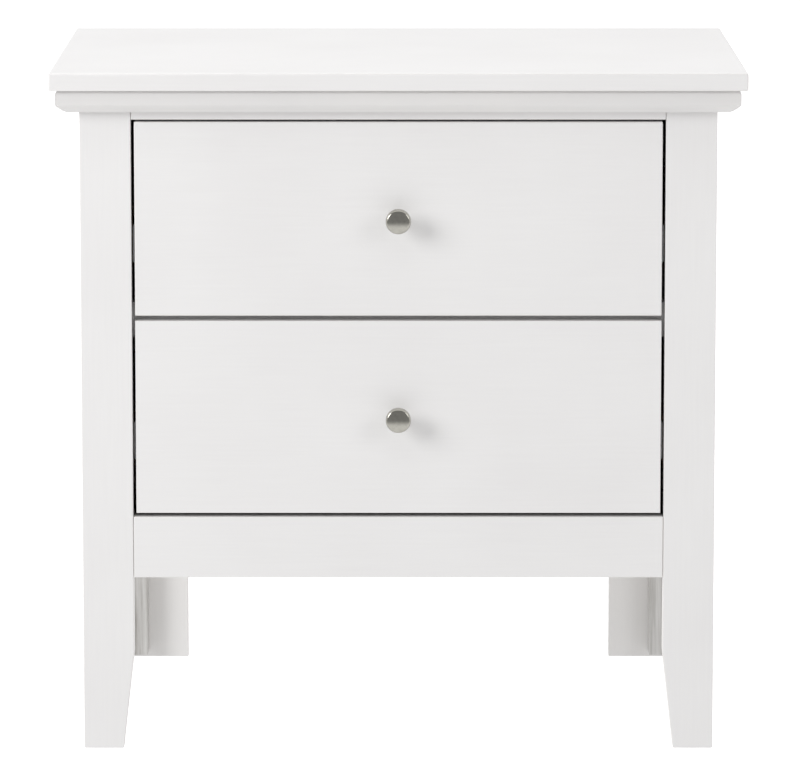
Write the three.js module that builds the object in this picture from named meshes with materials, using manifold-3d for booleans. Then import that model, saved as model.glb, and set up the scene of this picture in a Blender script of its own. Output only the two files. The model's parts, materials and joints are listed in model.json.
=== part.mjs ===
// A two-drawer nightstand, built board by board.
//
// Millimetres. +X is to the right of somebody facing the drawers, +Y runs to the back, +Z is up.
// The origin is on the floor, under the middle of the top panel. The drawer fronts face -Y.
//
// The carcase stands on four L-shaped legs, each glued up from two boards and a corner block.
// Each drawer is a four-sided box with a panel bottom, a separate front and a screwed knob. It
// runs on a pair of three-member ball-bearing slides: one member is screwed to a cleat in the
// carcase, one to the drawer side, and the middle one travels half as far as the drawer.

import * as THREE from "three";
import { mergeVertices } from "three/addons/utils/BufferGeometryUtils.js";
import Module from "manifold-3d";

const wasm = await Module();
wasm.setup();

// ---------------------------------------------------------------------------------------------
// Driving dimensions
// ---------------------------------------------------------------------------------------------

const WIDTH = 624;
const DEPTH = 457;
const HEIGHT = 619;

// What is left between two pieces that touch.
const GAP = 0.3;

const TOP_THICKNESS = 16;
const OVERHANG = 26; // of the top panel past the legs, at the front and at both sides

// Moulding under the top panel: a flat band whose lower edge has a soft bevel.
const MOULDING_HEIGHT = 20;
const MOULDING_OUT = 20;
const MOULDING_BEVEL_WIDTH = 9.5;
const MOULDING_BEVEL_HEIGHT = 7;
const MOULDING_BEVEL_HANDLES = [[0.4, 0.27], [0.73, 0.6]]; // of its slight curve, as shares
const MOULDING_BEVEL_STEPS = 5;

const BOARD = 18; // thickness of the legs' boards, the front rails and the drawer fronts
const LEG_WIDTH = 46;
const LEG_FOOT_WIDTH = 36; // a front leg tapers to this at the floor
const LEG_TAPER_HEIGHT = 89;
const REAR_LEG_BACK_WIDTH = 61;
const REAR_BOARD = 12; // thickness of the boards across the back
const CORNER_BLOCK = 22;
const CORNER_BLOCK_LIFT = 6; // of a rear one above the floor; a front one ends above the taper

const SIDE_PANEL_THICKNESS = 12;
const HARDBOARD = 3;

const CARCASE_BOTTOM = 158; // lower edge of the apron, the side panels and the rear rail
const APRON_HEIGHT = 55.8;
const TOP_RAIL_HEIGHT = 27.7;
const MID_RAIL_BOTTOM = 376;
const MID_RAIL_HEIGHT = 32;
const REAR_RAIL_HEIGHT = 40;
const BOTTOM_PANEL_LIFT = 6; // above the lower edge of the apron

const FRONT_WIDTH = 474;
const FRONT_HEIGHT = 175.4;
const LOWER_FRONT_BOTTOM = 217.5;
const UPPER_FRONT_BOTTOM = 397.6;

const BOX_BOARD = 12;
const BOX_HEIGHT = 134;
const BOX_LIFT = 12.5; // of the box above the lower edge of its front
const BOX_LENGTH = 366;
const BOX_BOTTOM_THICKNESS = 4;
const GROOVE_DEPTH = 6;
const GROOVE_LIFT = 8; // of the bottom panel's groove above the box's lower edge

// Dovetails join the box's front to its sides: the sides have the tails, the front the pins.
const TAILS = 3;
const PIN_WIDTH = 8; // of a whole pin at the front face of the box
const LOWEST_PIN_WIDTH = 14; // it covers the groove
const DOVETAIL_SLOPE = 1 / 6;

const SLIDE_LENGTH = 350;
const SLIDE_SETBACK = 7; // of the slide behind the back of the drawer front
const SLIDE_LIFT = 50; // of the slide's middle above the box's lower edge
const SLIDE_THICKNESS = 12.7;
const SLIDE_STEEL = 1.2;
const CLEAT_HEIGHT = 50;

// Each slide member is a channel. Its web and its lips are at these distances from the cleat.
const OUTER_MEMBER = { web: 0, lip: 10, halfHeight: 17.5 };
const MIDDLE_MEMBER = { web: 2, lip: 10, halfHeight: 13.4 };
const INNER_MEMBER = { web: SLIDE_THICKNESS, lip: 4.5, halfHeight: 9.3 };

// The knob is turned. Its outline lists radius and distance forwards from the drawer front.
const KNOB_OUTLINE = [
  [6, 0],
  [6, 1.6], // base
  [4.6, 4],
  [4.6, 8.5], // neck
  [6.8, 12.5],
  [10.2, 16], // flared back of the head
  [11.4, 18.4],
  [11.4, 20.2], // rim
  [10.8, 21.7],
  [9.6, 22.5],
  [5, 23.6],
  [0, 24], // slightly domed face
];
const KNOB_HOLE_RADIUS = 2.3;
const KNOB_HOLE_DEPTH = 15;
const KNOB_SEGMENTS = 32;

const SCREW_RADIUS = 2;
const SCREW_HEAD_RADIUS = 4.2;
const SCREW_HEAD_HEIGHT = 2.6;
const SCREW_HEAD_BEVEL = 1.2;
const SCREW_TIP_BEVEL = 0.8;
const SCREW_IN_KNOB = 13;
const SCREW_HOLE_RADIUS = 2.5;
const SCREW_SEGMENTS = 16;

// ---------------------------------------------------------------------------------------------
// Places worked out from them
// ---------------------------------------------------------------------------------------------

const LEG_X = WIDTH / 2 - OVERHANG; // outer face of the legs
const OPENING_X = LEG_X - LEG_WIDTH; // the drawer opening's edges
const CARCASE_INSIDE_X = LEG_X - BOARD;
const FRONT_Y = OVERHANG - DEPTH / 2; // front face of the legs, rails and drawer fronts
const BEHIND_FRONT_Y = FRONT_Y + BOARD;
const BACK_Y = DEPTH / 2;
const REAR_BOARD_Y = BACK_Y - REAR_BOARD;
const BACK_PANEL_Y = REAR_BOARD_Y - GAP - HARDBOARD;
const CARCASE_TOP = HEIGHT - TOP_THICKNESS - GAP;
const BOTTOM_PANEL_Z = CARCASE_BOTTOM + BOTTOM_PANEL_LIFT;
const BOX_FRONT_Y = BEHIND_FRONT_Y + GAP;
const SLIDE_FACE_X = OPENING_X - GAP; // the face that the slide is screwed to, less the gap
const BOX_X = SLIDE_FACE_X - SLIDE_THICKNESS - GAP; // outer face of a drawer's side
const BOX_INSIDE_X = BOX_X - BOX_BOARD;

const SIDES = [
  { name: "left", sign: -1 },
  { name: "right", sign: 1 },
];
const DRAWERS = [
  { name: "upper", bottom: UPPER_FRONT_BOTTOM },
  { name: "lower", bottom: LOWER_FRONT_BOTTOM },
];

const FINISHES = {
  lacquer: { color: 0xebe9e8, roughness: 0.42, metalness: 0 },
  roughLacquer: { color: 0xcbc8c6, roughness: 0.6, metalness: 0 },
  bareWood: { color: 0xd8c09a, roughness: 0.7, metalness: 0 },
  hardboard: { color: 0xe2ded6, roughness: 0.75, metalness: 0 },
  zinc: { color: 0xb4b7ba, roughness: 0.35, metalness: 0.9 },
  nickel: { color: 0xb3aea6, roughness: 0.32, metalness: 1 },
};

const AXIS_X = new THREE.Vector3(1, 0, 0);
const AXIS_Y = new THREE.Vector3(0, 1, 0);
const AXIS_Z = new THREE.Vector3(0, 0, 1);

// ---------------------------------------------------------------------------------------------
// Making pieces
// ---------------------------------------------------------------------------------------------

const nightstand = new THREE.Group();

function addPiece(parent, name, finish, geometry) {
  const mesh = new THREE.Mesh(geometry, new THREE.MeshStandardMaterial(FINISHES[finish]));
  mesh.name = name;
  parent.add(mesh);
  return mesh;
}

// A span of x on the left or the right, given by its distances from the middle.
function spanX(side, near, far) {
  return side.sign < 0 ? [-far, -near] : [near, far];
}

// A square-edged board that fills three spans.
function addBoard(parent, name, finish, [x0, x1], [y0, y1], [z0, z1]) {
  const geometry = new THREE.BoxGeometry(x1 - x0, y1 - y0, z1 - z0);
  const mesh = addPiece(parent, name, finish, geometry);
  mesh.position.set((x0 + x1) / 2, (y0 + y1) / 2, (z0 + z1) / 2);
  return mesh;
}

function outlineShape(points) {
  return new THREE.Shape(points.map(([a, b]) => new THREE.Vector2(a, b)));
}

function extrude(shape, depth) {
  return new THREE.ExtrudeGeometry(shape, { depth, bevelEnabled: false, curveSegments: 8 });
}

// Turns a piece whose outline was drawn as (y, z), so that it runs along +X from x = from.
function layAlongX(mesh, from) {
  mesh.setRotationFromMatrix(new THREE.Matrix4().makeBasis(AXIS_Y, AXIS_Z, AXIS_X));
  mesh.position.x = from;
}

// Turns a piece whose outline was drawn as (x, z), so that it runs along -Y from y = to.
function layAlongY(mesh, to) {
  const forwards = AXIS_Y.clone().negate();
  mesh.setRotationFromMatrix(new THREE.Matrix4().makeBasis(AXIS_X, AXIS_Z, forwards));
  mesh.position.y = to;
}

function toSolid(geometry) {
  const bare = geometry.clone();
  bare.deleteAttribute("normal");
  bare.deleteAttribute("uv");
  const merged = mergeVertices(bare, 1e-3);
  const mesh = new wasm.Mesh({
    numProp: 3,
    vertProperties: merged.getAttribute("position").array,
    triVerts: new Uint32Array(merged.index.array),
  });
  return new wasm.Manifold(mesh);
}

function toGeometry(solid) {
  const mesh = solid.getMesh();
  const geometry = new THREE.BufferGeometry();
  const positions = new THREE.BufferAttribute(new Float32Array(mesh.vertProperties), 3);
  geometry.setAttribute("position", positions);
  geometry.setIndex(new THREE.BufferAttribute(new Uint32Array(mesh.triVerts), 1));
  geometry.computeVertexNormals();
  return geometry;
}

// ---------------------------------------------------------------------------------------------
// Top panel and the moulding under it
// ---------------------------------------------------------------------------------------------

function addTop() {
  const x = [-WIDTH / 2, WIDTH / 2];
  const y = [-DEPTH / 2, DEPTH / 2];
  addBoard(nightstand, "top_panel", "lacquer", x, y, [HEIGHT - TOP_THICKNESS, HEIGHT]);
}

// The moulding's section: distance out from the legs' faces, and height.
function mouldingSection() {
  const bottom = CARCASE_TOP - MOULDING_HEIGHT;
  const corners = [[0, 0], ...MOULDING_BEVEL_HANDLES, [1, 1]].map(([across, up]) => {
    const out = MOULDING_OUT - MOULDING_BEVEL_WIDTH * (1 - across);
    return new THREE.Vector2(out, bottom + MOULDING_BEVEL_HEIGHT * up);
  });
  const bevel = new THREE.CubicBezierCurve(...corners).getPoints(MOULDING_BEVEL_STEPS);
  return [
    [GAP, CARCASE_TOP],
    [GAP, bottom],
    ...bevel.map((point) => [point.x, point.y]),
    [MOULDING_OUT, CARCASE_TOP],
  ];
}

// A length of moulding, whose ends can be mitred: a mitred end reaches as far past the corner
// of the legs as the section reaches out.
function mouldingLength(length, mitredStart, mitredEnd) {
  const geometry = extrude(outlineShape(mouldingSection()), length);
  const position = geometry.getAttribute("position");
  for (let i = 0; i < position.count; i++) {
    const out = position.getX(i) - GAP;
    const atStart = position.getZ(i) < length / 2;
    if (atStart && mitredStart) position.setZ(i, -out);
    if (!atStart && mitredEnd) position.setZ(i, length + out);
  }
  return geometry;
}

// Stands a moulding so that its section's first axis points outwards.
function addMoulding(name, geometry, outwards, corner) {
  const along = new THREE.Vector3().crossVectors(outwards, AXIS_Z);
  const mesh = addPiece(nightstand, name, "lacquer", geometry);
  mesh.setRotationFromMatrix(new THREE.Matrix4().makeBasis(outwards, AXIS_Z, along));
  mesh.position.set(corner[0], corner[1], 0);
}

function addMouldings() {
  const forwards = AXIS_Y.clone().negate();
  const leftwards = AXIS_X.clone().negate();
  const run = BACK_Y - FRONT_Y;
  const front = mouldingLength(2 * LEG_X, true, true);
  addMoulding("front_moulding", front, forwards, [LEG_X, FRONT_Y]);
  const right = mouldingLength(run, false, true);
  addMoulding("right_moulding", right, AXIS_X, [LEG_X, BACK_Y]);
  const left = mouldingLength(run, true, false);
  addMoulding("left_moulding", left, leftwards, [-LEG_X, FRONT_Y]);
}

// ---------------------------------------------------------------------------------------------
// Legs
// ---------------------------------------------------------------------------------------------

// A leg board seen from its face: straight at the outer edge, tapered at the foot of the inner
// one. Both edges are given by how far they are along the board's width.
function taperedBoard(outer, innerTop, innerFoot) {
  return outlineShape([
    [outer, CARCASE_TOP],
    [outer, 0],
    [innerFoot, 0],
    [innerTop, LEG_TAPER_HEIGHT],
    [innerTop, CARCASE_TOP],
  ]);
}

function addFrontLeg(side) {
  const name = `front_${side.name}_leg`;
  const footX = LEG_X - LEG_FOOT_WIDTH;
  const faceShape = taperedBoard(side.sign * LEG_X, side.sign * OPENING_X, side.sign * footX);
  const face = addPiece(nightstand, `${name}_face_board`, "lacquer", extrude(faceShape, BOARD));
  layAlongY(face, BEHIND_FRONT_Y);

  const innerTop = FRONT_Y + LEG_WIDTH;
  const innerFoot = FRONT_Y + LEG_FOOT_WIDTH;
  const sideShape = taperedBoard(BEHIND_FRONT_Y + GAP, innerTop, innerFoot);
  const board = addPiece(nightstand, `${name}_side_board`, "lacquer", extrude(sideShape, BOARD));
  layAlongX(board, spanX(side, CARCASE_INSIDE_X, LEG_X)[0]);

  const blockBack = BEHIND_FRONT_Y + GAP + CORNER_BLOCK;
  addCornerBlock(name, side, [BEHIND_FRONT_Y + GAP, blockBack], LEG_TAPER_HEIGHT);
}

function addRearLeg(side) {
  const name = `rear_${side.name}_leg`;
  const height = [0, CARCASE_TOP];
  const sideX = spanX(side, CARCASE_INSIDE_X, LEG_X);
  const sideY = [BACK_Y - LEG_WIDTH, BACK_Y];
  addBoard(nightstand, `${name}_side_board`, "lacquer", sideX, sideY, height);

  const innerX = CARCASE_INSIDE_X - GAP;
  const backX = spanX(side, innerX - REAR_LEG_BACK_WIDTH, innerX);
  addBoard(nightstand, `${name}_back_board`, "lacquer", backX, [REAR_BOARD_Y, BACK_Y], height);

  const blockBack = REAR_BOARD_Y - GAP;
  addCornerBlock(name, side, [blockBack - CORNER_BLOCK, blockBack], CORNER_BLOCK_LIFT);
}

// The block in the corner of a leg, which also carries the bottom panel.
function addCornerBlock(legName, side, y, bottom) {
  const outer = CARCASE_INSIDE_X - GAP;
  const x = spanX(side, outer - CORNER_BLOCK, outer);
  const z = [bottom, BOTTOM_PANEL_Z - GAP];
  addBoard(nightstand, `${legName}_corner_block`, "roughLacquer", x, y, z);
}

// ---------------------------------------------------------------------------------------------
// Carcase
// ---------------------------------------------------------------------------------------------

function addSidePanel(side) {
  const x = spanX(side, CARCASE_INSIDE_X, CARCASE_INSIDE_X + SIDE_PANEL_THICKNESS);
  const y = [FRONT_Y + LEG_WIDTH + GAP, BACK_Y - LEG_WIDTH - GAP];
  const z = [CARCASE_BOTTOM, CARCASE_TOP];
  addBoard(nightstand, `${side.name}_side_panel`, "lacquer", x, y, z);
}

function addRails() {
  const betweenLegs = [GAP - OPENING_X, OPENING_X - GAP];
  const frontBoards = [FRONT_Y, BEHIND_FRONT_Y];
  const topRailZ = [CARCASE_TOP - TOP_RAIL_HEIGHT, CARCASE_TOP];
  addBoard(nightstand, "top_front_rail", "lacquer", betweenLegs, frontBoards, topRailZ);
  const apronZ = [CARCASE_BOTTOM, CARCASE_BOTTOM + APRON_HEIGHT];
  addBoard(nightstand, "front_apron", "lacquer", betweenLegs, frontBoards, apronZ);

  // The middle rail is fixed behind the legs, so that the drawer fronts close against it.
  const behindLegs = [GAP - CARCASE_INSIDE_X, CARCASE_INSIDE_X - GAP];
  const midRailY = [BEHIND_FRONT_Y + GAP, BEHIND_FRONT_Y + GAP + BOARD];
  const midRailZ = [MID_RAIL_BOTTOM, MID_RAIL_BOTTOM + MID_RAIL_HEIGHT];
  addBoard(nightstand, "middle_front_rail", "lacquer", behindLegs, midRailY, midRailZ);

  const rearEnd = CARCASE_INSIDE_X - GAP - REAR_LEG_BACK_WIDTH - GAP;
  const rearY = [REAR_BOARD_Y, BACK_Y];
  const rearTopZ = [CARCASE_TOP - REAR_RAIL_HEIGHT, CARCASE_TOP];
  addBoard(nightstand, "rear_top_rail", "lacquer", [-rearEnd, rearEnd], rearY, rearTopZ);
  const rearBottomZ = [CARCASE_BOTTOM, CARCASE_BOTTOM + REAR_RAIL_HEIGHT];
  addBoard(nightstand, "rear_bottom_rail", "lacquer", [-rearEnd, rearEnd], rearY, rearBottomZ);
}

function addPanels() {
  const x = [GAP - CARCASE_INSIDE_X, CARCASE_INSIDE_X - GAP];
  const bottomY = [BEHIND_FRONT_Y + GAP, REAR_BOARD_Y - GAP];
  const bottomZ = [BOTTOM_PANEL_Z, BOTTOM_PANEL_Z + HARDBOARD];
  addBoard(nightstand, "bottom_panel", "hardboard", x, bottomY, bottomZ);
  const backY = [BACK_PANEL_Y, BACK_PANEL_Y + HARDBOARD];
  const backZ = [BOTTOM_PANEL_Z + HARDBOARD + GAP, CARCASE_TOP];
  addBoard(nightstand, "back_panel", "hardboard", x, backY, backZ);
}

// ---------------------------------------------------------------------------------------------
// Drawer slides
// ---------------------------------------------------------------------------------------------

// A channel-shaped slide member on one side of a drawer, centred on the given height.
function addSlideMember(parent, name, member, side, height) {
  const steel = Math.sign(member.lip - member.web) * SLIDE_STEEL;
  const { web, lip, halfHeight } = member;
  const inside = halfHeight - SLIDE_STEEL;
  const section = [
    [web, -halfHeight],
    [lip, -halfHeight],
    [lip, -inside],
    [web + steel, -inside],
    [web + steel, inside],
    [lip, inside],
    [lip, halfHeight],
    [web, halfHeight],
  ];
  const points = section.map(([u, v]) => [side.sign * (SLIDE_FACE_X - u), height + v]);
  const geometry = extrude(outlineShape(points), SLIDE_LENGTH);
  layAlongY(addPiece(parent, name, "zinc", geometry), BEHIND_FRONT_Y + SLIDE_SETBACK + SLIDE_LENGTH);
}

// The two slides of one drawer, with the cleats that carry them.
function addSlides(parent, drawer) {
  const height = BOX_LIFT + SLIDE_LIFT;
  const cleatY = [BEHIND_FRONT_Y + GAP, BACK_PANEL_Y - GAP];
  const cleatZ = [height - CLEAT_HEIGHT / 2, height + CLEAT_HEIGHT / 2];
  for (const side of SIDES) {
    const name = `${drawer.name}_${side.name}`;
    const cleatX = spanX(side, OPENING_X, CARCASE_INSIDE_X - GAP);
    addBoard(parent, `${name}_runner_cleat`, "bareWood", cleatX, cleatY, cleatZ);
    addSlideMember(parent, `${name}_slide_outer_member`, OUTER_MEMBER, side, height);
    addSlideMember(parent, `${name}_slide_middle_member`, MIDDLE_MEMBER, side, height);
    addSlideMember(parent, `${name}_slide_inner_member`, INNER_MEMBER, side, height);
  }
}

// ---------------------------------------------------------------------------------------------
// Drawers
// ---------------------------------------------------------------------------------------------

function addDrawerFront(parent, name) {
  const halfWidth = FRONT_WIDTH / 2;
  const shape = outlineShape([
    [-halfWidth, 0],
    [halfWidth, 0],
    [halfWidth, FRONT_HEIGHT],
    [-halfWidth, FRONT_HEIGHT],
  ]);
  const hole = new THREE.Path();
  hole.absarc(0, FRONT_HEIGHT / 2, SCREW_HOLE_RADIUS, 0, 2 * Math.PI, true);
  shape.holes.push(hole);
  layAlongY(addPiece(parent, `${name}_front`, "lacquer", extrude(shape, BOARD)), BEHIND_FRONT_Y);
}

// The pins of one corner: their heights at the front face of the box. They widen backwards.
function pinSpans() {
  const bottom = BOX_LIFT;
  const top = BOX_LIFT + BOX_HEIGHT;
  const firstTail = bottom + LOWEST_PIN_WIDTH;
  const lastTailEnd = top - PIN_WIDTH;
  const tail = (lastTailEnd - firstTail - (TAILS - 1) * PIN_WIDTH) / TAILS;
  const spans = [[bottom, firstTail]];
  for (let i = 1; i < TAILS; i++) {
    const start = firstTail + i * tail + (i - 1) * PIN_WIDTH;
    spans.push([start, start + PIN_WIDTH]);
  }
  spans.push([lastTailEnd, top]);
  return spans;
}

// The outline (y, z) of a pin, widened all round for the notch that takes it. Where it lies on
// the box's upper or lower edge it stays level, and a notch runs out past the edge.
function pinOutline([low, high], clearance) {
  const frontY = BOX_FRONT_Y - 2 * clearance;
  const backY = BOX_FRONT_Y + BOX_BOARD + clearance;
  const spread = DOVETAIL_SLOPE * BOX_BOARD;
  const atBottom = low === BOX_LIFT;
  const atTop = high === BOX_LIFT + BOX_HEIGHT;
  return [
    [frontY, low - clearance],
    [backY, low - clearance - (atBottom ? 0 : spread)],
    [backY, high + clearance + (atTop ? 0 : spread)],
    [frontY, high + clearance],
  ];
}

// A rectangular block between two corners, placed in its vertices, for cutting and joining.
function block([x0, x1], [y0, y1], [z0, z1]) {
  const geometry = new THREE.BoxGeometry(x1 - x0, y1 - y0, z1 - z0);
  return geometry.translate((x0 + x1) / 2, (y0 + y1) / 2, (z0 + z1) / 2);
}

function grooveSpan() {
  const bottom = BOX_LIFT + GROOVE_LIFT;
  return [bottom, bottom + BOX_BOTTOM_THICKNESS + 2 * GAP];
}

// The box's front: a grooved board with pins at both ends, drilled for the knob screw. It is
// drawn lying along X, so its own axes are y, z and x.
function addBoxFront(parent, name) {
  const halfWidth = BOX_INSIDE_X - GAP;
  const backY = BOX_FRONT_Y + BOX_BOARD;
  const boxZ = [BOX_LIFT, BOX_LIFT + BOX_HEIGHT];
  let solid = toSolid(block([BOX_FRONT_Y, backY], boxZ, [-halfWidth, halfWidth]));
  for (const span of pinSpans()) {
    const pin = extrude(outlineShape(pinOutline(span, 0)), 2 * BOX_X).translate(0, 0, -BOX_X);
    solid = solid.add(toSolid(pin));
  }
  const groove = block([backY - GROOVE_DEPTH, backY + 1], grooveSpan(), [-BOX_X - 1, BOX_X + 1]);
  const drill = new THREE.CylinderGeometry(
    SCREW_HOLE_RADIUS,
    SCREW_HOLE_RADIUS,
    3 * BOX_BOARD,
    SCREW_SEGMENTS,
  );
  drill.rotateZ(Math.PI / 2);
  drill.translate(BOX_FRONT_Y, FRONT_HEIGHT / 2, 0);
  solid = solid.subtract(toSolid(groove)).subtract(toSolid(drill));
  layAlongX(addPiece(parent, `${name}_box_front`, "bareWood", toGeometry(solid)), 0);
}

// A side of the box, with notches for the pins and a groove for the bottom.
function addBoxSide(parent, name, side) {
  const x0 = spanX(side, BOX_INSIDE_X, BOX_X)[0];
  const boxY = [BOX_FRONT_Y, BOX_FRONT_Y + BOX_LENGTH];
  const boxZ = [BOX_LIFT, BOX_LIFT + BOX_HEIGHT];
  let solid = toSolid(block(boxY, boxZ, [0, BOX_BOARD]));
  for (const span of pinSpans()) {
    const notch = extrude(outlineShape(pinOutline(span, GAP)), BOX_BOARD + 2).translate(0, 0, -1);
    solid = solid.subtract(toSolid(notch));
  }
  const grooveX = side.sign < 0 ? [BOX_BOARD - GROOVE_DEPTH, BOX_BOARD + 1] : [-1, GROOVE_DEPTH];
  const groove = block([boxY[0] - 1, boxY[1] + 1], grooveSpan(), grooveX);
  solid = solid.subtract(toSolid(groove));
  const mesh = addPiece(parent, `${name}_box_${side.name}_side`, "bareWood", toGeometry(solid));
  layAlongX(mesh, x0);
}

function addBox(parent, name) {
  addBoxFront(parent, name);
  for (const side of SIDES) addBoxSide(parent, name, side);

  // The bottom slides in from behind, under the box's back.
  const bottomZ = BOX_LIFT + GROOVE_LIFT + GAP;
  const bottomTop = bottomZ + BOX_BOTTOM_THICKNESS;
  const boxBackY = BOX_FRONT_Y + BOX_LENGTH;
  const insideX = [GAP - BOX_INSIDE_X, BOX_INSIDE_X - GAP];
  const backY = [boxBackY - BOX_BOARD, boxBackY];
  const backZ = [bottomTop + GAP, BOX_LIFT + BOX_HEIGHT];
  addBoard(parent, `${name}_box_back`, "bareWood", insideX, backY, backZ);

  const inGroove = GROOVE_DEPTH - GAP;
  const bottomX = [-BOX_INSIDE_X - inGroove, BOX_INSIDE_X + inGroove];
  const bottomY = [BOX_FRONT_Y + BOX_BOARD - inGroove, boxBackY];
  addBoard(parent, `${name}_box_bottom`, "bareWood", bottomX, bottomY, [bottomZ, bottomTop]);
}

// A turned piece whose axis points forwards out of the drawer front, at its middle. The profile
// lists radius and distance forwards from the given y, and both its ends are on the axis.
function addTurned(parent, name, finish, profile, segments, y) {
  const points = profile.map(([radius, forwards]) => new THREE.Vector2(radius, forwards));
  const mesh = addPiece(parent, name, finish, new THREE.LatheGeometry(points, segments));
  mesh.rotation.z = Math.PI;
  mesh.position.set(0, y, FRONT_HEIGHT / 2);
}

function addKnob(parent, name) {
  const hole = [
    [0, KNOB_HOLE_DEPTH],
    [KNOB_HOLE_RADIUS, KNOB_HOLE_DEPTH],
    [KNOB_HOLE_RADIUS, 0],
  ];
  const profile = [...hole, ...KNOB_OUTLINE];
  addTurned(parent, `${name}_knob`, "nickel", profile, KNOB_SEGMENTS, FRONT_Y - GAP);
}

// The screw's head lies against the back of the box's front, and its tip ends inside the knob.
function addKnobScrew(parent, name) {
  const headY = BOX_FRONT_Y + BOX_BOARD + GAP;
  const tip = headY - FRONT_Y + SCREW_IN_KNOB;
  const profile = [
    [0, -SCREW_HEAD_HEIGHT],
    [SCREW_HEAD_RADIUS - SCREW_HEAD_BEVEL, -SCREW_HEAD_HEIGHT],
    [SCREW_HEAD_RADIUS, SCREW_HEAD_BEVEL - SCREW_HEAD_HEIGHT],
    [SCREW_HEAD_RADIUS, 0],
    [SCREW_RADIUS, 0],
    [SCREW_RADIUS, tip - SCREW_TIP_BEVEL],
    [SCREW_RADIUS - SCREW_TIP_BEVEL, tip],
    [0, tip],
  ];
  addTurned(parent, `${name}_knob_screw`, "zinc", profile, SCREW_SEGMENTS, headY);
}

function addDrawer(drawer) {
  const group = new THREE.Group();
  group.position.z = drawer.bottom;
  nightstand.add(group);
  const name = `${drawer.name}_drawer`;
  addDrawerFront(group, name);
  addBox(group, name);
  addKnob(group, name);
  addKnobScrew(group, name);
  addSlides(group, drawer);
}

// ---------------------------------------------------------------------------------------------
// The whole nightstand
// ---------------------------------------------------------------------------------------------

addTop();
addMouldings();
for (const side of SIDES) {
  addFrontLeg(side);
  addRearLeg(side);
  addSidePanel(side);
}
addRails();
addPanels();
for (const drawer of DRAWERS) addDrawer(drawer);

export default nightstand;
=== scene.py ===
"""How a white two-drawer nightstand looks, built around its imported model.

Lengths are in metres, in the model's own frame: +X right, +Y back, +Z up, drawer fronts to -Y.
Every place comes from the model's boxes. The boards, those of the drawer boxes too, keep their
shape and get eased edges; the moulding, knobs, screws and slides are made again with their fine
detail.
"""

import json
import math

import bmesh
import bpy
from mathutils import Matrix, Vector


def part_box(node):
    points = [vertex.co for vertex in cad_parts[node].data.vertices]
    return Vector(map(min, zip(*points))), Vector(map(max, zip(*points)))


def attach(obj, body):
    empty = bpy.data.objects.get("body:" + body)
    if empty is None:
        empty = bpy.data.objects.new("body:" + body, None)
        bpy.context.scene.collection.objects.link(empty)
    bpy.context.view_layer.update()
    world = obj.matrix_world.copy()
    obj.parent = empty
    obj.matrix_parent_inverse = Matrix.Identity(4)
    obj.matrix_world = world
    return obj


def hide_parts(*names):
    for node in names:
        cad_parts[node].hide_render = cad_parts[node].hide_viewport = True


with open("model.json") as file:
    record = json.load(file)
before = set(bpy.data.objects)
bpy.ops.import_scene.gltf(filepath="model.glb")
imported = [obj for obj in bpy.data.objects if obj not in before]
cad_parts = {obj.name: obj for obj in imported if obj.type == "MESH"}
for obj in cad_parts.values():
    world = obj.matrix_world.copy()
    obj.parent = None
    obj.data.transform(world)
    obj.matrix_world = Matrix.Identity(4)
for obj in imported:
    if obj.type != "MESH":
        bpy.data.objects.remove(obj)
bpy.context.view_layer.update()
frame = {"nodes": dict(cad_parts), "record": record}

MM = 0.001
SLOT_OF = {row["node"]: row["material_slot"] for row in frame["record"]["subparts"]}
BODY_OF = {
    node: body for body, nodes in frame["record"]["behaviour"]["bodies"].items() for node in nodes
}
DRAWERS = ("upper", "lower")
SIDES = {"left": -1, "right": 1}


# ------------------------------------------------------------------------------------------
# Materials
# ------------------------------------------------------------------------------------------


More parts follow.
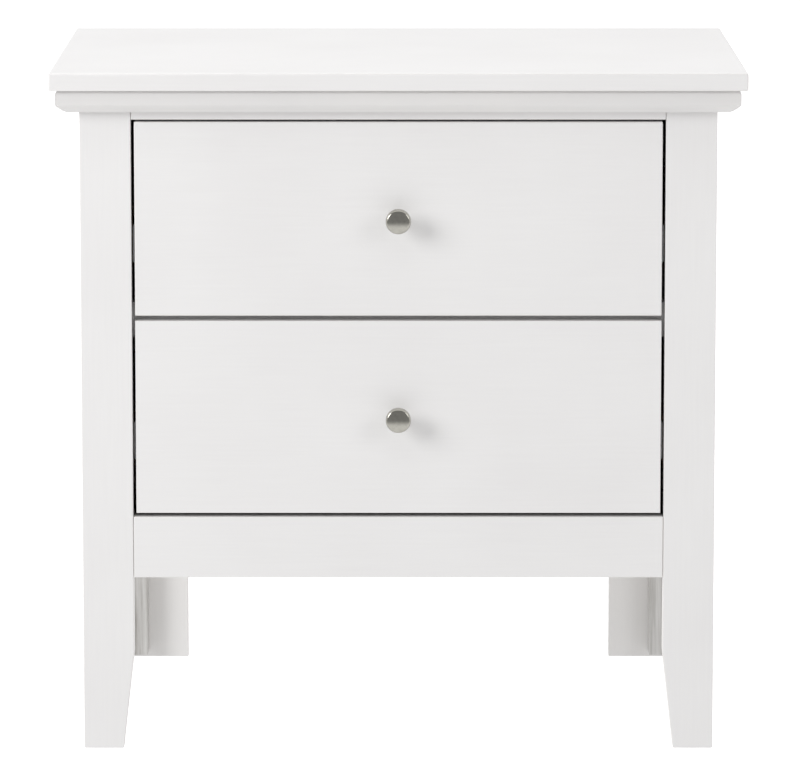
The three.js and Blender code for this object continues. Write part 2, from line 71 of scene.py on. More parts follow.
class Nodes:
    """A small helper for writing one material's node tree."""

    def __init__(self, name):
        self.material = bpy.data.materials.new(name)
        self.material.use_nodes = True
        self.tree = self.material.node_tree
        self.shader = self.tree.nodes["Principled BSDF"]
        coordinates = self.tree.nodes.new("ShaderNodeTexCoord")
        self.place = coordinates.outputs["Object"]
        self.facing = coordinates.outputs["Normal"]

    def add(self, kind, inputs=None, **settings):
        node = self.tree.nodes.new(kind)
        for key, value in settings.items():
            setattr(node, key, value)
        for key, value in (inputs or {}).items():
            self.link(value, node.inputs[key])
        return node

    def link(self, value, socket):
        if isinstance(value, bpy.types.NodeSocket):
            self.tree.links.new(value, socket)
        else:
            socket.default_value = value

    def stretched(self, scale):
        """The object's coordinates, scaled along each axis."""
        mapping = self.add("ShaderNodeMapping", {"Vector": self.place, "Scale": scale})
        return mapping.outputs["Vector"]

    def noise(self, place, scale, detail=3.0, roughness=0.5, distortion=0.0):
        inputs = {
            "Vector": place,
            "Scale": scale,
            "Detail": detail,
            "Roughness": roughness,
            "Distortion": distortion,
        }
        return self.add("ShaderNodeTexNoise", inputs).outputs["Fac"]

    def remap(self, value, low, high, to_low, to_high):
        inputs = {
            "Value": value,
            "From Min": low,
            "From Max": high,
            "To Min": to_low,
            "To Max": to_high,
        }
        return self.add("ShaderNodeMapRange", inputs).outputs["Result"]

    def math(self, operation, a, b):
        node = self.add("ShaderNodeMath", {0: a, 1: b}, operation=operation)
        return node.outputs[0]

    def mix(self, factor, a, b):
        node = self.add("ShaderNodeMix", data_type="RGBA")
        self.link(factor, node.inputs["Factor"])
        self.link(a, node.inputs[6])
        self.link(b, node.inputs[7])
        return node.outputs[2]

    def ramp(self, value, *stops):
        node = self.add("ShaderNodeValToRGB", {"Fac": value})
        elements = node.color_ramp.elements
        while len(elements) < len(stops):
            elements.new(0.5)
        for element, (position, colour) in zip(elements, stops):
            element.position = position
            element.color = (*colour, 1.0)
        return node.outputs["Color"]

    def end_grain(self, axis):
        """1 on the faces that the grain runs into, 0 on those that it runs along."""
        parts = self.add("ShaderNodeSeparateXYZ", {0: self.facing}).outputs
        return self.remap(self.math("ABSOLUTE", parts[axis], 0.0), 0.6, 0.8, 0.0, 1.0)

    def edge(self):
        """1 on eased edges, 0 on the flats between them."""
        return self.add("ShaderNodeAttribute", attribute_name="edge").outputs["Fac"]

    def bump(self, height, distance, strength=1.0, normal=None):
        inputs = {"Height": height, "Distance": distance, "Strength": strength}
        if normal is not None:
            inputs["Normal"] = normal
        return self.add("ShaderNodeBump", inputs).outputs["Normal"]

    def finish(self, **sockets):
        for key, value in sockets.items():
            self.link(value, self.shader.inputs[key.replace("_", " ")])
        return self.material


def along(axis, fine, coarse):
    """A scale that is fine across the grain and coarse along it."""
    return tuple(coarse if i == axis else fine for i in range(3))


def colour(red, green, blue):
    return (red, green, blue, 1.0)


MOULDING_PAINTED_SHADE = 0.90  # painted shade: the moulding's coat is made greyer than the boards' to stand for the shade it sits in under the top panel


def white_lacquer(axis, tone=1.0):
    """Satin white lacquer on a board whose grain runs along one axis."""
    n = Nodes(f"white_lacquer_{'xyz'[axis]}_{round(100 * tone)}")
    grain = n.noise(n.stretched(along(axis, 420, 14)), 1.0, 4, 0.6)
    cloud = n.noise(n.place, 7.0, 3)
    peel = n.noise(n.place, 620.0, 2, 0.45)
    speck = n.noise(n.place, 2600.0, 1)
    blend = n.math("ADD", n.math("MULTIPLY", grain, 0.35), n.math("MULTIPLY", cloud, 0.65))
    # A tone below 1 darkens the whole coat; the moulding's lower tone is painted shade.
    dull = tuple(tone * part for part in (0.815, 0.803, 0.800))
    clean = tuple(tone * part for part in (0.850, 0.842, 0.838))
    face = n.ramp(blend, (0.32, dull), (0.68, clean))
    rub = n.math("MULTIPLY", n.edge(), n.remap(cloud, 0.35, 0.7, 0.15, 0.6))
    base = n.mix(rub, face, colour(0.79, 0.765, 0.735))
    sheen = n.remap(n.math("ADD", peel, grain), 0.7, 1.3, 0.36, 0.47)
    relief = n.bump(peel, 0.03 * MM, 0.5)
    relief = n.bump(grain, 0.035 * MM, 0.45, relief)
    relief = n.bump(speck, 0.006 * MM, 0.4, relief)
    return n.finish(Base_Color=base, Roughness=sheen, Normal=relief)


def white_on_rough_wood(axis):
    """A thin coat of the lacquer over saw marks and raised grain. Its dark streaky colour is
    partly the grain's own and partly painted shade for the shaded inner corners of the legs.
    """
    n = Nodes(f"white_on_rough_wood_{'xyz'[axis]}")
    streak = n.noise(n.stretched(along(axis, 300, 9)), 1.0, 5, 0.7)
    broad = n.noise(n.stretched(along(axis, 90, 5)), 1.0, 3)
    saw = n.noise(n.stretched(along(axis, 20, 700)), 1.0, 2)
    tone = n.math("ADD", n.math("MULTIPLY", streak, 0.6), n.math("MULTIPLY", broad, 0.4))
    # The ramp's dark stops are partly painted shade for the legs' inner corners, over the grain's
    # real streaks.
    base = n.ramp(
        tone,
        (0.32, (0.30, 0.285, 0.268)),
        (0.46, (0.54, 0.53, 0.515)),
        (0.64, (0.74, 0.733, 0.725)),
    )
    relief = n.bump(streak, 0.35 * MM, 0.8)
    relief = n.bump(saw, 0.12 * MM, 0.5, relief)
    sheen = n.remap(streak, 0.3, 0.7, 0.75, 0.5)
    return n.finish(Base_Color=base, Roughness=sheen, Normal=relief)


def bare_wood(axis):
    """Pale softwood under a thin seal, with growth rings cut lengthways."""
    n = Nodes(f"bare_wood_{'xyz'[axis]}")
    own = n.add("ShaderNodeObjectInfo").outputs["Random"]
    shift = n.add("ShaderNodeCombineXYZ", {"X": own, "Y": own, "Z": own}).outputs["Vector"]
    placed = n.add("ShaderNodeVectorMath", {0: n.place, 1: shift}, operation="ADD")
    n.place = placed.outputs["Vector"]
    bend = n.noise(n.stretched(along(axis, 16, 1.6)), 1.0, 2)
    rings = n.noise(n.stretched(along(axis, 95, 2.2)), 1.0, 2, 0.4, 0.6)
    rings = n.math("ADD", rings, n.math("MULTIPLY", bend, 0.7))
    bands = n.math("SINE", n.math("MULTIPLY", rings, 42.0), 0.0)
    late = n.remap(bands, -0.2, 1.0, 0.0, 1.0)
    fibre = n.noise(n.stretched(along(axis, 900, 22)), 1.0, 3, 0.65)
    pale = n.ramp(fibre, (0.3, (0.655, 0.475, 0.285)), (0.7, (0.750, 0.580, 0.380)))
    base = n.mix(n.math("MULTIPLY", late, 0.5), pale, colour(0.53, 0.335, 0.165))
    handled = n.math("MULTIPLY", n.edge(), 0.35)
    base = n.mix(handled, base, colour(0.50, 0.33, 0.18))
    end = n.end_grain(axis)
    pores = n.noise(n.place, 1500.0, 2, 0.6)
    cut_ends = n.ramp(pores, (0.35, (0.30, 0.175, 0.085)), (0.65, (0.50, 0.335, 0.185)))
    base = n.mix(n.math("MULTIPLY", end, 0.75), base, cut_ends)
    relief = n.bump(fibre, 0.06 * MM, 0.6)
    relief = n.bump(late, 0.04 * MM, 0.4, relief)
    sheen = n.remap(fibre, 0.3, 0.7, 0.48, 0.66)
    return n.finish(Base_Color=base, Roughness=sheen, Normal=relief)


def hardboard(axis):
    """Thin fibreboard with a pale printed face."""
    n = Nodes(f"hardboard_{'xyz'[axis]}")
    fibre = n.noise(n.place, 1400.0, 3, 0.7)
    cloud = n.noise(n.place, 18.0, 3)
    tone = n.math("ADD", n.math("MULTIPLY", fibre, 0.5), n.math("MULTIPLY", cloud, 0.5))
    face = n.ramp(tone, (0.35, (0.66, 0.63, 0.58)), (0.65, (0.76, 0.735, 0.69)))
    base = n.mix(n.edge(), face, colour(0.30, 0.20, 0.12))
    relief = n.bump(fibre, 0.05 * MM, 0.6)
    sheen = n.remap(cloud, 0.3, 0.7, 0.62, 0.8)
    return n.finish(Base_Color=base, Roughness=sheen, Normal=relief)


def zinc_steel(axis):
    """Rolled steel with bright zinc plate."""
    n = Nodes(f"zinc_steel_{'xyz'[axis]}")
    rolled = n.noise(n.stretched(along(axis, 2400, 40)), 1.0, 2)
    spangle = n.noise(n.place, 160.0, 3, 0.6)
    base = n.ramp(spangle, (0.3, (0.585, 0.595, 0.605)), (0.7, (0.67, 0.68, 0.69)))
    worn = n.math("MULTIPLY", n.edge(), 0.5)
    base = n.mix(worn, base, colour(0.78, 0.78, 0.78))
    sheen = n.remap(n.math("ADD", rolled, spangle), 0.7, 1.3, 0.24, 0.42)
    relief = n.bump(rolled, 0.01 * MM, 0.5)
    return n.finish(Base_Color=base, Metallic=1.0, Roughness=sheen, Normal=relief)


def satin_nickel():
    """Turned and brushed nickel; the lathe's marks run round the piece's own Y axis."""
    n = Nodes("satin_nickel")
    rings = n.add(
        "ShaderNodeTexWave",
        {"Vector": n.place, "Scale": 900.0, "Distortion": 1.5, "Detail": 3.0, "Detail Scale": 2.0},
        wave_type="RINGS",
        rings_direction="Y",
    ).outputs["Fac"]
    cloud = n.noise(n.place, 260.0, 3)
    base = n.ramp(cloud, (0.3, (0.425, 0.415, 0.374)), (0.7, (0.482, 0.470, 0.425)))
    bright = n.math("MULTIPLY", n.edge(), 0.5)
    base = n.mix(bright, base, colour(0.66, 0.64, 0.60))
    sheen = n.remap(n.math("ADD", rings, cloud), 0.5, 1.5, 0.12, 0.19)
    relief = n.bump(rings, 0.004 * MM, 0.35)
    return n.finish(Base_Color=base, Metallic=1.0, Roughness=sheen, Normal=relief)


MAKERS = {
    "white_lacquer": white_lacquer,
    "white_on_rough_wood": white_on_rough_wood,
    "bare_wood": bare_wood,
    "hardboard": hardboard,
    "zinc_steel": zinc_steel,
    "satin_nickel": satin_nickel,
}
made_materials = {}


def material_for(slot, *settings):
    """The material of a record slot, made once for each setting of its grain and tone."""
    key = (slot, *settings)
    if key not in made_materials:
        made_materials[key] = MAKERS[slot](*settings)
    return made_materials[key]


def longest_axis(node):
    low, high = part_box(node)
    size = [high[i] - low[i] for i in range(3)]
    return size.index(max(size))


# ------------------------------------------------------------------------------------------
# Making pieces
# ------------------------------------------------------------------------------------------


def piece(name, bm, material, body):
    """Turns a finished bmesh into a named object that rides on a body."""
    mesh = bpy.data.meshes.new(name)
    bm.normal_update()
    bm.to_mesh(mesh)
    bm.free()
    mesh.materials.append(material)
    made = bpy.data.objects.new(name, mesh)
    bpy.context.scene.collection.objects.link(made)
    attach(made, body)
    return made


def edge_layer(bm):
    return bm.verts.layers.float.get("edge") or bm.verts.layers.float.new("edge")


def ease(bm, edges, radius, segments=3):
    """Rounds some edges and marks the round for the materials."""
    layer = edge_layer(bm)
    rounded = bmesh.ops.bevel(
        bm,
        geom=edges,
        offset=radius,
        offset_type="OFFSET",
        segments=segments,
        profile=0.5,
        affect="EDGES",
        clamp_overlap=True,
    )
    for face in rounded["faces"]:
        face.smooth = True
    flats = {v for face in bm.faces if not face.smooth for v in face.verts}
    for vert in rounded["verts"]:
        if vert not in flats:
            vert[layer] = 1.0


def sharp_edges(bm, least=25.0):
    limit = math.radians(least)
    return [e for e in bm.edges if len(e.link_faces) == 2 and e.calc_face_angle() > limit]


def bmesh_of(node):
    """A CAD node's shape with its vertices joined and its flat faces whole."""
    bm = bmesh.new()
    bm.from_mesh(frame["nodes"][node].data)
    bm.verts.ensure_lookup_table()
    bmesh.ops.remove_doubles(bm, verts=bm.verts, dist=0.002 * MM)
    bmesh.ops.dissolve_limit(
        bm, angle_limit=math.radians(1), verts=bm.verts, edges=bm.edges, delimit=set()
    )
    for face in bm.faces:
        face.smooth = False
    for layer in list(bm.verts.layers.float):
        bm.verts.layers.float.remove(layer)
    return bm


def eased_board(node, radius):
    """A board that keeps its CAD shape and gets rounded edges."""
    bm = bmesh_of(node)
    ease(bm, sharp_edges(bm), radius)
    slot = SLOT_OF[node]
    material = material_for(slot, longest_axis(node))
    made = piece(f"{node}_board", bm, material, BODY_OF[node])
    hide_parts(node)
    return made


# ------------------------------------------------------------------------------------------
# Boards
# ------------------------------------------------------------------------------------------

SHAPED_ELSEWHERE = ("moulding", "knob", "screw", "member")
# How far the edges of the boards are eased: by finish, and on the boards that show most.
EASING = {
    "white_lacquer": 0.8 * MM,
    "white_on_rough_wood": 0.5 * MM,
    "bare_wood": 0.5 * MM,
    "hardboard": 0.25 * MM,
}
TOP_EASING = 1.6 * MM
DRAWER_FRONT_EASING = 1.8 * MM


def make_boards():
    for node, slot in SLOT_OF.items():
        if node.endswith(SHAPED_ELSEWHERE):
            continue
        radius = EASING[slot]
        if node == "top_panel":
            radius = TOP_EASING
        if node.endswith("drawer_front"):
            radius = DRAWER_FRONT_EASING
        eased_board(node, radius)


# ------------------------------------------------------------------------------------------
# Outlines
# ------------------------------------------------------------------------------------------


def arc(centre, radius, start, end, steps):
    """Points on a circle, from one angle to another in degrees."""
    points = []
    for i in range(steps + 1):
        angle = math.radians(start + (end - start) * i / steps)
        points.append((centre[0] + radius * math.cos(angle), centre[1] + radius * math.sin(angle)))
    return points


def curve(p0, p1, p2, p3, steps):
    """Points on a cubic Bezier curve, without its first."""
    points = []
    for i in range(1, steps + 1):
        t = i / steps
        weights = ((1 - t) ** 3, 3 * t * (1 - t) ** 2, 3 * t * t * (1 - t), t**3)
        points.append(
            tuple(sum(w * p[k] for w, p in zip(weights, (p0, p1, p2, p3))) for k in (0, 1))
        )
    return points


def rounded_path(corners, radius, steps=5):
    """An open line through corners, each of them rounded."""
    path = [Vector(corners[0])]
    for before, corner, after in zip(corners, corners[1:], corners[2:]):
        corner = Vector(corner)
        back = (Vector(before) - corner).normalized() * radius
        ahead = (Vector(after) - corner).normalized() * radius
        start, end = corner + back, corner + ahead
        for i in range(steps + 1):
            t = i / steps
            path.append(start * (1 - t) ** 2 + corner * 2 * t * (1 - t) + end * t * t)
    path.append(Vector(corners[-1]))
    return path


def thickened(path, thickness):
    """The closed outline of a sheet of even thickness that follows an open line."""
    left, right = [], []
    for i, point in enumerate(path):
        tangent = (path[min(i + 1, len(path) - 1)] - path[max(i - 1, 0)]).normalized()
        normal = Vector((-tangent.y, tangent.x)) * thickness / 2
        left.append(point + normal)
        right.append(point - normal)
    return left + right[::-1]


def sweep(outline, place_start, place_end, turn_limit=35.0):
    """A closed solid between two copies of an outline. Its gentle turns are shaded smooth, and
    its sharp ones are marked as edges."""
    bm = bmesh.new()
    layer = edge_layer(bm)
    starts = [bm.verts.new(place_start(p)) for p in outline]
    ends = [bm.verts.new(place_end(p)) for p in outline]
    count = len(outline)
    for i in range(count):
        k = (i + 1) % count
        bm.faces.new((starts[i], starts[k], ends[k], ends[i]))
    bm.faces.new(starts[::-1])
    bm.faces.new(ends)
    bmesh.ops.recalc_face_normals(bm, faces=bm.faces)
    limit = math.radians(turn_limit)
    for face in bm.faces:
        face.smooth = len(face.verts) == 4
    for edge in bm.edges:
        if edge.calc_face_angle(0) > limit:
            edge.smooth = False
            for vert in edge.verts:
                vert[layer] = 0.6
    return bm


def turned(profile, segments):
    """A lathe-turned solid round the Y axis. The profile lists radius and distance forwards
    (towards -Y), and starts and ends on the axis."""
    bm = bmesh.new()
    layer = edge_layer(bm)
    rings = []
    for radius, forwards in profile:
        if radius < 1e-7:
            rings.append([bm.verts.new((0, -forwards, 0))])
            continue
        ring = []
        for i in range(segments):
            angle = 2 * math.pi * i / segments
            point = (radius * math.cos(angle), -forwards, radius * math.sin(angle))
            ring.append(bm.verts.new(point))
        rings.append(ring)
    for ring, after in zip(rings, rings[1:]):
        for i in range(segments):
            k = (i + 1) % segments
            corners = [ring[i % len(ring)], ring[k % len(ring)]]
            corners += [after[k % len(after)], after[i % len(after)]]
            distinct = list(dict.fromkeys(corners))
            if len(distinct) > 2:
                bm.faces.new(distinct)
    bmesh.ops.recalc_face_normals(bm, faces=bm.faces)
    limit = math.radians(35)
    for face in bm.faces:
        face.smooth = True
    for edge in bm.edges:
        if edge.calc_face_angle(0) > limit:
            edge.smooth = False
            for vert in edge.verts:
                vert[layer] = 0.6
    return bm


def add_ball(bm, centre, radius):
    place = Matrix.Translation(centre)
    made = bmesh.ops.create_uvsphere(bm, u_segments=14, v_segments=9, radius=radius, matrix=place)
    for face in {f for v in made["verts"] for f in v.link_faces}:
        face.smooth = True


# ------------------------------------------------------------------------------------------
# Moulding
# ------------------------------------------------------------------------------------------

GAP = 0.3 * MM
MOULDING_BEVEL = (9.5 * MM, 7 * MM)  # width and height, along the band's lower edge
MOULDING_BEVEL_HANDLES = ((0.73, 0.6), (0.4, 0.27))  # of its slight curve, as shares
MOULDING_ARRIS = 3 * MM  # of the band's upper edge, under the top panel
FILLET = 0.4 * MM  # of the lower edges


def moulding_outline(band, bottom, top):
    """Distance out from the legs' faces, and height: a flat band over a soft bevel."""
    outline = [(GAP, top)]
    outline += arc((band - MOULDING_ARRIS, top - MOULDING_ARRIS), MOULDING_ARRIS, 90, 0, 10)
    width, height = MOULDING_BEVEL
    bevel = [(1.0, 1.0)] + curve((1.0, 1.0), *MOULDING_BEVEL_HANDLES, (0.0, 0.0), 16)
    outline += [(band - width * (1 - across), bottom + height * up) for across, up in bevel]
    outline += [(GAP + FILLET, bottom), (GAP, bottom + FILLET)]
    return outline


def make_mouldings():
    leg_low, leg_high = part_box("front_right_leg_face_board")
    low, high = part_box("front_moulding")
    leg_x, front_y = leg_high.x, leg_low.y
    back_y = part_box("right_moulding")[1].y
    outline = moulding_outline(front_y - low.y, low.z, high.z)

    def mitre(out):
        return out - GAP

    ends = {
        "front": (
            lambda p: (-leg_x - mitre(p[0]), front_y - p[0], p[1]),
            lambda p: (leg_x + mitre(p[0]), front_y - p[0], p[1]),
        ),
        "right": (
            lambda p: (leg_x + p[0], front_y - mitre(p[0]), p[1]),
            lambda p: (leg_x + p[0], back_y, p[1]),
        ),
        "left": (
            lambda p: (-leg_x - p[0], front_y - mitre(p[0]), p[1]),
            lambda p: (-leg_x - p[0], back_y, p[1]),
        ),
    }
    for name, (start, end) in ends.items():
        bm = sweep(outline, start, end)
        axis = 0 if name == "front" else 1
        material = material_for("white_lacquer", axis, MOULDING_PAINTED_SHADE)
        made = piece(f"{name}_moulding_profile", bm, material, "case")
        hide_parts(f"{name}_moulding")


# ------------------------------------------------------------------------------------------
# Knobs and screws
# ------------------------------------------------------------------------------------------


def scaled(points):
    return [(a * MM, b * MM) for a, b in points]


def knob_profile(radius, length):
    """In millimetres: a blind hole, a small foot, a waist, a flared back, and a shallow domed
    face with a rounded edge."""
    rim, drop = radius - 1.8, 1.5
    dome = (rim**2 + drop**2) / (2 * drop)
    widest = math.asin(rim / dome)
    face_edge = length - drop
    lead = 1.1
    before_rim = (rim + lead * math.cos(widest), face_edge - lead * math.sin(widest))
    profile = [(0, 15), (2.3, 15), (2.3, 0), (5.4, 0)]
    profile += arc((5.4, 0.6), 0.6, -90, 0, 4)
    profile += [(6.0, 1.3)]
    profile += curve((6.0, 1.3), (6.0, 3.2), (4.6, 3.4), (4.6, 5.5), 8)
    profile += curve((4.6, 7.5), (4.6, 12.0), (9.8, 12.4), (radius, 17.0), 14)
    profile += curve((radius, 18.2), (radius, 20.6), before_rim, (rim, face_edge), 12)
    for i in range(1, 15):
        angle = widest * (1 - i / 14)
        profile.append((dome * math.sin(angle), length - dome * (1 - math.cos(angle))))
    profile[-1] = (0, length)
    return scaled(profile)


def make_knob(drawer):
    node = f"{drawer}_drawer_knob"
    low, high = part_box(node)
    radius = (high.x - low.x) / 2 / MM
    length = (high.y - low.y) / MM
    bm = turned(knob_profile(radius, length), 96)
    material = material_for("satin_nickel")
    made = piece(f"{node}_turned", bm, material, f"{drawer}_drawer")
    made.location = ((low.x + high.x) / 2, high.y, (low.z + high.z) / 2)
    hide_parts(node)


def cross_recess(depth, reach, width):
    """A tapering cross to sink into a screw head, with its top face at y = 0."""
    bm = bmesh.new()
    top_y, end_share, side_share = 0.05 * MM, 0.45, 0.6
    for turn in (0, 90):
        spin = Matrix.Rotation(math.radians(turn), 4, "Y")
        corners = [(-1, -1), (1, -1), (1, 1), (-1, 1)]
        top, bottom = [], []
        for a, b in corners:
            x, z = a * reach, b * width / 2
            top.append(bm.verts.new(spin @ Vector((x, top_y, z))))
            bottom.append(bm.verts.new(spin @ Vector((x * end_share, -depth, z * side_share))))
        for k in range(4):
            after = (k + 1) % 4
            bm.faces.new((top[k], bottom[k], bottom[after], top[after]))
        bm.faces.new(bottom)
        bm.faces.new(top[::-1])
    bmesh.ops.recalc_face_normals(bm, faces=bm.faces)
    return bm


def cut(bm, cutter):
    """bm less the cutter, worked out by a boolean on two short-lived objects."""
    scratch = []
    for shape in (bm, cutter):
        mesh = bpy.data.meshes.new("scratch")
        shape.to_mesh(mesh)
        shape.free()
        made = bpy.data.objects.new("scratch", mesh)
        bpy.context.scene.collection.objects.link(made)
        scratch.append(made)
    body, tool = scratch
    boolean = body.modifiers.new("cut", "BOOLEAN")
    boolean.operation = "DIFFERENCE"
    boolean.solver = "EXACT"
    boolean.use_self = True
    boolean.object = tool
    evaluated = body.evaluated_get(bpy.context.evaluated_depsgraph_get())
    result = bmesh.new()
    result.from_mesh(evaluated.to_mesh())
    evaluated.to_mesh_clear()
    for made in scratch:
        mesh = made.data
        bpy.data.objects.remove(made)
        bpy.data.meshes.remove(mesh)
    return result


def screw_head(radius, height):
    """A pan head with a cross in it: its flat back is at y = 0, its crown at y = height."""
    middle, rim = (0, -height), (radius, -0.25 * height)
    crown = [middle]
    crown += curve(middle, (0.6 * radius, -height), (0.95 * radius, -0.8 * height), rim, 8)
    head = turned(crown + [(radius, 0), (0, 0)], 28)
    recess = cross_recess(0.75 * height, 0.62 * radius, 0.24 * radius)
    bmesh.ops.translate(recess, verts=recess.verts, vec=(0, height, 0))
    return cut(head, recess)


def copies(source, placements):
    """One bmesh that holds a copy of a shape at each placement. The shape is used up."""
    mesh = bpy.data.meshes.new("scratch")
    source.to_mesh(mesh)
    source.free()
    bm = bmesh.new()
    for placement in placements:
        one = mesh.copy()
        one.transform(placement)
        bm.from_mesh(one)
        bpy.data.meshes.remove(one)
    bpy.data.meshes.remove(mesh)
    return bm


def make_knob_screw(drawer):
    """The machine screw that comes through both fronts into the knob."""
    node = f"{drawer}_drawer_knob_screw"
    low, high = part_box(node)
    head_height, shank, tip = 2.6 * MM, 2.0 * MM, 0.8 * MM
    under_head = high.y - head_height
    length = under_head - low.y
    profile = [(0, 0), (shank, 0), (shank, length - tip), (shank - tip, length), (0, length)]
    turned_shaft = turned(profile, 24)
    bm = copies(screw_head((high.x - low.x) / 2, head_height), [Matrix.Identity(4)])
    shaft = bpy.data.meshes.new("scratch")
    turned_shaft.to_mesh(shaft)
    turned_shaft.free()
    bm.from_mesh(shaft)
    bpy.data.meshes.remove(shaft)
    material = material_for("zinc_steel", 1)
    made = piece(f"{node}_turned", bm, material, f"{drawer}_drawer")
    made.location = ((low.x + high.x) / 2, under_head, (low.z + high.z) / 2)
    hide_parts(node)


FRONT_SCREW_REACH = (125 * MM, 30 * MM)  # from the middle of the front, across and up
FRONT_SCREW_HEAD = (4.0 * MM, 2.2 * MM)  # radius and height


def make_front_screws(drawer):
    """The screws inside a drawer that hold its front to its box."""
    low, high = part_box(f"{drawer}_drawer_box_front")
    centre = (low + high) / 2
    across, up = FRONT_SCREW_REACH
    offsets = [(x, z) for z in (-up, up) for x in (-across, across)]
    head = screw_head(*FRONT_SCREW_HEAD)
    placements = []
    for i, (x, z) in enumerate(offsets):
        spin = Matrix.Rotation(math.radians(20 + 47 * i), 4, "Y")
        placements.append(Matrix.Translation((x, high.y, centre.z + z)) @ spin)
    bm = copies(head, placements)
    body = f"{drawer}_drawer"
    piece(f"{drawer}_drawer_front_screws", bm, material_for("zinc_steel", 1), body)


# ------------------------------------------------------------------------------------------
# Drawer slides
# ------------------------------------------------------------------------------------------

STEEL = 1.2 * MM
FOLD = 1.6 * MM  # radius of the channels' corners
CURL = 1.5 * MM  # how far a channel's lips turn in
BALL = 1.4 * MM  # radius
CAGE_LENGTH = 150 * MM
CAGE_WIDTH = 4.4 * MM
CAGE_STEEL = 0.6 * MM
CAGE_MARGIN = 8 * MM  # from the end of the slide to the nearest cage
BALL_SPACING = 12 * MM
SLIDE_SCREW_SHARES = (0.1, 0.5, 0.9)  # of the way along a slide
CASE_SCREW_HEAD = (3.4 * MM, 0.7 * MM)  # radius and height
DRAWER_SCREW_HEAD = (3.4 * MM, 1.5 * MM)


def slide_member(name, opens, body):
    """A rolled channel with folded corners and curled lips. It opens to the left (-1) or to
    the right (+1). Returns the CAD member's box."""
    low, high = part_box(name)
    middle = (low.z + high.z) / 2
    half = (high.z - low.z) / 2 - STEEL / 2
    web, lip = (low.x, high.x) if opens > 0 else (high.x, low.x)
    web, lip = web + opens * STEEL / 2, lip - opens * STEEL / 2
    corners = [(lip, half - CURL), (lip, half), (web, half)]
    corners += [(x, -z) for x, z in reversed(corners)]
    outline = thickened(rounded_path(corners, FOLD), STEEL)

    def at(y):
        return lambda point: (point[0], y, middle + point[1])

    bm = sweep(outline, at(low.y), at(high.y))
    material = material_for("zinc_steel", 1)
    made = piece(f"{name}_channel", bm, material, body)
    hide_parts(name)
    return low, high


def add_cage(bm, centre, start):
    """A strip that keeps a row of balls apart, from a start in y towards the back."""
    lift = CAGE_STEEL / 2
    low = Vector((centre[0] - CAGE_WIDTH / 2, start, centre[1] - lift))
    size = Vector((CAGE_WIDTH, CAGE_LENGTH, CAGE_STEEL))
    place = Matrix.Translation(low + size / 2) @ Matrix.Diagonal((*size, 1.0))
    bmesh.ops.create_cube(bm, size=1.0, matrix=place)
    count = int(CAGE_LENGTH / BALL_SPACING)
    for i in range(count):
        add_ball(bm, (centre[0], start + (i + 0.5) * BALL_SPACING, centre[1]), BALL)


def slide_screws(name, x, facing, ys, z, size, body):
    """Screw heads on a slide's web. They face left (-1) or right (+1)."""
    head = screw_head(*size)
    placements = []
    for i, y in enumerate(ys):
        turn = Matrix.Rotation(math.radians(-90 * facing), 4, "Z")
        spin = Matrix.Rotation(math.radians(15 + 50 * i), 4, "Y")
        placements.append(Matrix.Translation((x, y, z)) @ turn @ spin)
    piece(name, copies(head, placements), material_for("zinc_steel", 1), body)


def make_slide(drawer, side_name):
    side = SIDES[side_name]
    name = f"{drawer}_{side_name}_slide"
    middles = f"{drawer}_slide_middles"
    outer = slide_member(f"{name}_outer_member", -side, "case")
    middle = slide_member(f"{name}_middle_member", -side, middles)
    inner = slide_member(f"{name}_inner_member", side, f"{drawer}_drawer")
    z = (outer[0].z + outer[1].z) / 2
    front, back = outer[0].y, outer[1].y

    # The balls outside the middle member stay in its rear half and those inside it in its front
    # half, so both rows stay between their two members at full extension.
    outer_face = outer[1].z - STEEL
    middle_face = middle[1].z
    inner_top = inner[1].z
    rows = (
        ((outer_face + middle_face) / 2, back - CAGE_LENGTH - CAGE_MARGIN),
        ((middle_face - STEEL + inner_top) / 2, front + CAGE_MARGIN),
    )
    x = (middle[0].x + middle[1].x) / 2
    cages = bmesh.new()
    for height, start in rows:
        for centre_z in (height, 2 * z - height):
            add_cage(cages, (x, centre_z), start)
    material = material_for("zinc_steel", 1)
    piece(f"{name}_ball_cages", cages, material, middles)

    cleat_face = outer[1].x if side > 0 else outer[0].x
    drawer_face = inner[0].x if side > 0 else inner[1].x
    ys = [front + share * (back - front) for share in SLIDE_SCREW_SHARES]
    web = cleat_face - side * STEEL
    slide_screws(f"{name}_case_screws", web, -side, ys, z, CASE_SCREW_HEAD, "case")
    web = drawer_face + side * STEEL
    body = f"{drawer}_drawer"
    slide_screws(f"{name}_drawer_screws", web, side, ys, z, DRAWER_SCREW_HEAD, body)


# ------------------------------------------------------------------------------------------
# Stage, light and camera
# ------------------------------------------------------------------------------------------

AMBIENT = 0.315
# Broad lights far away: the direction each shines from, the angles in degrees at which it starts
# to fade and has faded, and its strength. The floor throws no light back by itself, so the one
# from below stands for it.
SKY_LIGHTS = {
    "overhead": ((0.0, 0.1, 1.0), (30, 62), 0.92),
    "left_side": ((-1.0, 0.15, 0.2), (20, 48), 0.3),
    "right_side": ((1.0, 0.1, 0.2), (20, 48), 0.5),
    "back": ((0.0, 1.0, 0.35), (25, 55), 0.45),
    "floor_bounce": ((0.0, 0.0, -1.0), (64, 84), 0.75),
}
# Softboxes: the direction each shines from, its distance, its size and its power.
SOFTBOXES = {
    "key": ((-0.755, -0.549, 0.358), 3.0, 1.5, 42.0),
    "fill": ((0.715, -0.600, 0.358), 3.0, 1.3, 11.5),
}
LIT_POINT = Vector((0, -0.2, 0.36))
FLOOR_GLOW = 0.72
BACKDROP_GLOW = 1.1
FLOOR_SIZE = 60.0
FLOOR_DROP = 0.2 * MM  # below the feet
BACKDROP_RADIUS = 30.0

SENSOR_WIDTH = 36.0  # in millimetres, as the lens is
LENS = 253.6
CAMERA_PLACE = (0.0015, -5.2275, 1.1057)
CAMERA_DIP = 8.7544  # degrees below level
CLIP_END = 200.0


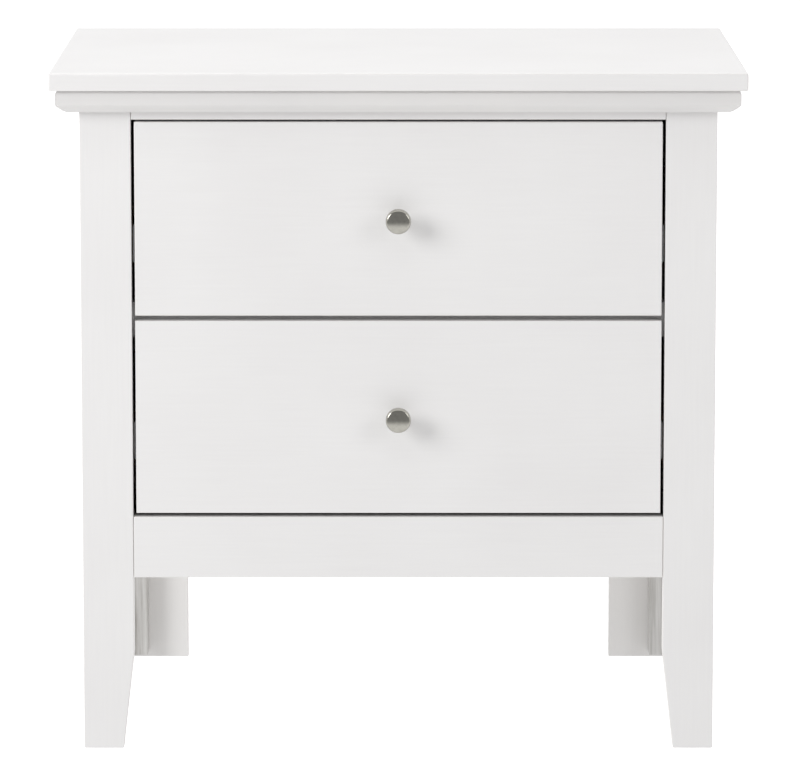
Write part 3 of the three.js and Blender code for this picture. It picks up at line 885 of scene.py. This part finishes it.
def make_stage():
    bpy.ops.mesh.primitive_plane_add(size=FLOOR_SIZE, location=(0, 0, -FLOOR_DROP))
    floor = bpy.context.object
    floor.name = "floor"
    n = Nodes("pale_floor")
    cloud = n.noise(n.place, 1.5, 2)
    base = n.ramp(cloud, (0.0, (0.63, 0.63, 0.63)), (1.0, (0.65, 0.65, 0.65)))
    glow = {"Emission_Color": colour(1, 1, 1), "Emission_Strength": FLOOR_GLOW}
    floor.data.materials.append(n.finish(Base_Color=base, Roughness=0.9, **glow))
    bpy.ops.mesh.primitive_uv_sphere_add(radius=BACKDROP_RADIUS, segments=64, ring_count=32)
    backdrop = bpy.context.object
    backdrop.name = "backdrop"
    n = Nodes("white_backdrop")
    glow = {"Emission_Color": colour(1, 1, 1), "Emission_Strength": BACKDROP_GLOW}
    backdrop.data.materials.append(n.finish(Base_Color=colour(0, 0, 0), Roughness=1.0, **glow))
    for stage in (floor, backdrop):
        stage.visible_diffuse = False
        stage.visible_glossy = False
        stage.visible_shadow = False


def make_softboxes():
    for name, (shines_from, distance, size, power) in SOFTBOXES.items():
        data = bpy.data.lights.new(f"{name}_softbox", "AREA")
        data.shape = "DISK"
        data.size = size
        data.energy = power
        light = bpy.data.objects.new(f"{name}_softbox", data)
        bpy.context.scene.collection.objects.link(light)
        towards = Vector(shines_from).normalized()
        light.location = LIT_POINT + distance * towards
        light.rotation_euler = towards.to_track_quat("Z", "Y").to_euler()


def make_world():
    """A dim white studio with broad soft lights in it."""
    world = bpy.data.worlds.new("studio")
    bpy.context.scene.world = world
    world.use_nodes = True
    tree = world.node_tree
    direction = tree.nodes.new("ShaderNodeTexCoord").outputs["Generated"]
    total = None
    for shines_from, (full, faded), strength in SKY_LIGHTS.values():
        towards = tree.nodes.new("ShaderNodeVectorMath")
        towards.operation = "DOT_PRODUCT"
        tree.links.new(direction, towards.inputs[0])
        towards.inputs[1].default_value = Vector(shines_from).normalized()
        fade = tree.nodes.new("ShaderNodeMapRange")
        fade.interpolation_type = "SMOOTHSTEP"
        tree.links.new(towards.outputs["Value"], fade.inputs["Value"])
        fade.inputs["From Min"].default_value = math.cos(math.radians(faded))
        fade.inputs["From Max"].default_value = math.cos(math.radians(full))
        fade.inputs["To Max"].default_value = strength
        add = tree.nodes.new("ShaderNodeMath")
        add.operation = "ADD"
        tree.links.new(fade.outputs["Result"], add.inputs[0])
        if total is None:
            add.inputs[1].default_value = AMBIENT
        else:
            tree.links.new(total, add.inputs[1])
        total = add.outputs[0]
    background = tree.nodes["Background"]
    background.inputs["Color"].default_value = colour(1, 1, 1)
    tree.links.new(total, background.inputs["Strength"])


def make_camera():
    data = bpy.data.cameras.new("camera")
    data.sensor_width = SENSOR_WIDTH
    data.lens = LENS
    data.clip_end = CLIP_END
    camera = bpy.data.objects.new("camera", data)
    bpy.context.scene.collection.objects.link(camera)
    camera.location = CAMERA_PLACE
    camera.rotation_euler = (math.radians(90 - CAMERA_DIP), 0, 0)
    bpy.context.scene.camera = camera


# ------------------------------------------------------------------------------------------
# The whole scene
# ------------------------------------------------------------------------------------------

make_stage()
make_world()
make_softboxes()
make_camera()
make_boards()
make_mouldings()
for drawer in DRAWERS:
    make_knob(drawer)
    make_knob_screw(drawer)
    make_front_screws(drawer)
    for side_name in SIDES:
        make_slide(drawer, side_name)

view_settings = bpy.context.scene.view_settings
view_settings.view_transform = "Standard"
view_settings.look = "None"
